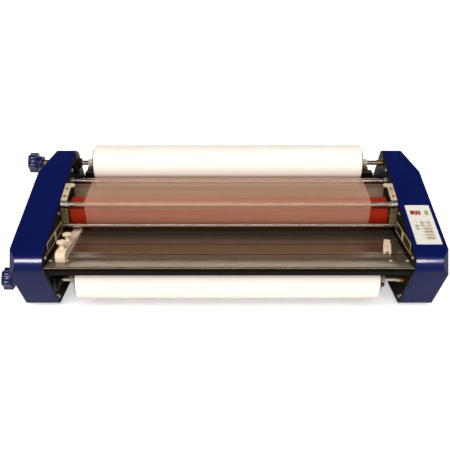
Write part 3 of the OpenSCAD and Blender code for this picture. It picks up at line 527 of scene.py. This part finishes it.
ICONS = {
    "left_key_1": [disc(-13.4, 2.6, 1.3)],
    "left_key_2": [rounded_rect(-15.2, -7.1, -12.2, -4.9, 0.3)],
    "left_key_3": [arrow(-13.7, -14.8, 1.6, -90)],
    "middle_key_1": [arrow(-0.6, 3.7, 1.6, 0)],
    "middle_key_2": [arrow(-0.8, -4.5, 1.6, 180)],
    "right_key_1": [arrow(12.4, 3.7, 1.6, 0)],
    "right_key_2": [arrow(12.2, -4.5, 1.6, 180)],
    "wide_key_1": [rounded_rect(1.6, -14.9, 8.4, -13.5, 0.4), disc(12.6, -14.2, 1.0)],
    "wide_key_2": [rounded_rect(1.6, -24.5, 6.4, -23.1, 0.4), rounded_rect(8.2, -24.5, 13.0, -23.1, 0.4)],
    "wide_key_3": [arrow(4.2, -33.4, 1.6, -90), arrow(10.2, -33.4, 1.6, 90)],
    "wide_key_4": [rounded_rect(1.6, -43.7, 13.2, -42.3, 0.4)],
}
for key, shapes in ICONS.items():
    bm = bmesh.new()
    for s in shapes:
        prism(bm, s, PANEL, 2.28, 2.36, 0.02)
    piece(key + "_mark", bm, "ink_dark", key)

# blank label plates on the frames' inner faces
for side, nm in ((-1, "left"), (1, "right")):
    # local x runs along the machine (+Y), local y up, local z towards the middle of the machine
    M = Matrix.Translation(P(side * FX, 0, 0)) @ (Matrix(((0, 0, -1, 0), (1, 0, 0, 0), (0, 1, 0, 0), (0, 0, 0, 1))) if side > 0 else Matrix(((0, 0, 1, 0), (1, 0, 0, 0), (0, 1, 0, 0), (0, 0, 0, 1))))
    bm = bmesh.new()
    prism(bm, rounded_rect(-36, 138.5, 81, 163, 2), M, 0.0, 0.25, 0.05)
    piece(nm + "_label_edge", bm, "ink_grey", "machine")
    bm = bmesh.new()
    prism(bm, rounded_rect(-34.6, 139.9, 21, 161.6, 1.5), M, 0.2, 0.36, 0.04)
    prism(bm, rounded_rect(31, 139.9, 79.6, 161.6, 1.5), M, 0.2, 0.36, 0.04)
    piece(nm + "_label_borders", bm, "ink_yellow", "machine")
    bm = bmesh.new()
    prism(bm, rounded_rect(-32.6, 141.9, 19, 159.6, 1), M, 0.3, 0.44, 0.04)
    prism(bm, rounded_rect(33, 141.9, 77.6, 159.6, 1), M, 0.3, 0.44, 0.04)
    piece(nm + "_label_fields", bm, "label_dark", "machine")
    bm = bmesh.new()
    prism(bm, rounded_rect(22, 140.5, 30, 161, 1), M, 0.2, 0.34, 0.04)
    piece(nm + "_label_strip", bm, "label_pale", "machine")

# ---------------------------------------------------------------- floor and light
fm = bpy.data.materials.new("floor")
nt, b = nodes_of(fm)
nt.links.new(ramp(nt, noise(nt, tex_coord(nt), 2.0), [(0.3, (0.90, 0.90, 0.90)), (0.7, (0.92, 0.92, 0.92))]), b.inputs["Base Color"])
b.inputs["Roughness"].default_value = 0.8
b.inputs["Emission Color"].default_value = (1.0, 1.0, 1.0, 1)
lp = nt.nodes.new("ShaderNodeLightPath")
nt.links.new(math_node(nt, "MULTIPLY", lp.outputs["Is Camera Ray"], 0.50), b.inputs["Emission Strength"])
bm = bmesh.new()
vs = [bm.verts.new(v) for v in ((-30, -12, 0), (30, -12, 0), (30, 40, 0), (-30, 40, 0))]
bm.faces.new(vs)
me = bpy.data.meshes.new("floor")
bm.to_mesh(me)
bm.free()
floor = bpy.data.objects.new("floor", me)
bpy.context.scene.collection.objects.link(floor)
me.materials.append(fm)


def area(name, loc, target, size, power, color=(1, 0.95, 0.89), size_y=None):
    L = bpy.data.lights.new(name, "AREA")
    L.shape = "RECTANGLE"
    L.size = size
    L.size_y = size_y or size
    L.energy = power
    L.color = color
    o = bpy.data.objects.new(name, L)
    bpy.context.scene.collection.objects.link(o)
    o.location = loc
    o.rotation_euler = (Vector(target) - Vector(loc)).to_track_quat("-Z", "Y").to_euler()
    return o


area("key", (-0.2, -2.1, 2.0), (0, 0, 0.1), 3.2, 14, size_y=0.14)


def only_on(light, names):
    """This light falls on these pieces alone."""
    col = bpy.data.collections.new(light.name + "_pieces")
    for n in names:
        col.objects.link(N[n])
    light.light_linking.receiver_collection = col


k = area("bend_light", (-0.2, -2.1, 2.0), (0, 0, 0.1), 3.2, 1700, size_y=1.3)
k.visible_diffuse = False
only_on(k, ("left_cover", "right_cover"))
k = area("knob_light", (-1.2, -1.9, 1.6), (-0.4, 0, 0.15), 0.7, 20)
k.visible_diffuse = False
only_on(k, ("upper_tension_knob", "lower_tension_knob"))
k = area("roll_fill", (0, -2.6, 0.2), (0, 0, 0.15), 2.6, 15, size_y=0.35, color=(1, 0.92, 0.84))
k.visible_glossy = False
only_on(k, ("upper_film_roll", "lower_film_roll"))
area("back_strip", (0.0, 2.0, 1.3), (0, 0.1, 0.2), 3.0, 6, size_y=0.12)
area("left_fill", (-2.8, -0.4, 1.2), (0, 0, 0.15), 1.0, 9)
area("right_fill", (2.8, -0.4, 1.2), (0, 0, 0.15), 1.0, 9)
sun = bpy.data.lights.new("soft_overhead", "SUN")
sun.energy = 2.95
sun.angle = math.radians(50)
sun.color = (1, 0.965, 0.925)
so = bpy.data.objects.new("soft_overhead", sun)
bpy.context.scene.collection.objects.link(so)
so.rotation_euler = (math.radians(40), math.radians(-8), 0)
so.visible_glossy = False

world = bpy.data.worlds.new("studio")
bpy.context.scene.world = world
world.use_nodes = True
wt = world.node_tree
wt.nodes.clear()
wo = wt.nodes.new("ShaderNodeOutputWorld")
bg = wt.nodes.new("ShaderNodeBackground")
tc = wt.nodes.new("ShaderNodeTexCoord")
sp = wt.nodes.new("ShaderNodeSeparateXYZ")
wr = wt.nodes.new("ShaderNodeValToRGB")
wt.links.new(tc.outputs["Generated"], sp.inputs[0])
wt.links.new(sp.outputs[2], wr.inputs["Fac"])
els = wr.color_ramp.elements
els[0].position = 0.0
els[0].color = (1.0, 0.99, 0.97, 1)
els[1].position = 0.50
els[1].color = (0.07, 0.066, 0.062, 1)
mid = els.new(0.20)
mid.color = (0.42, 0.40, 0.38, 1)
wt.links.new(wr.outputs["Color"], bg.inputs["Color"])
bg.inputs["Strength"].default_value = 0.9
wt.links.new(bg.outputs[0], wo.inputs[0])
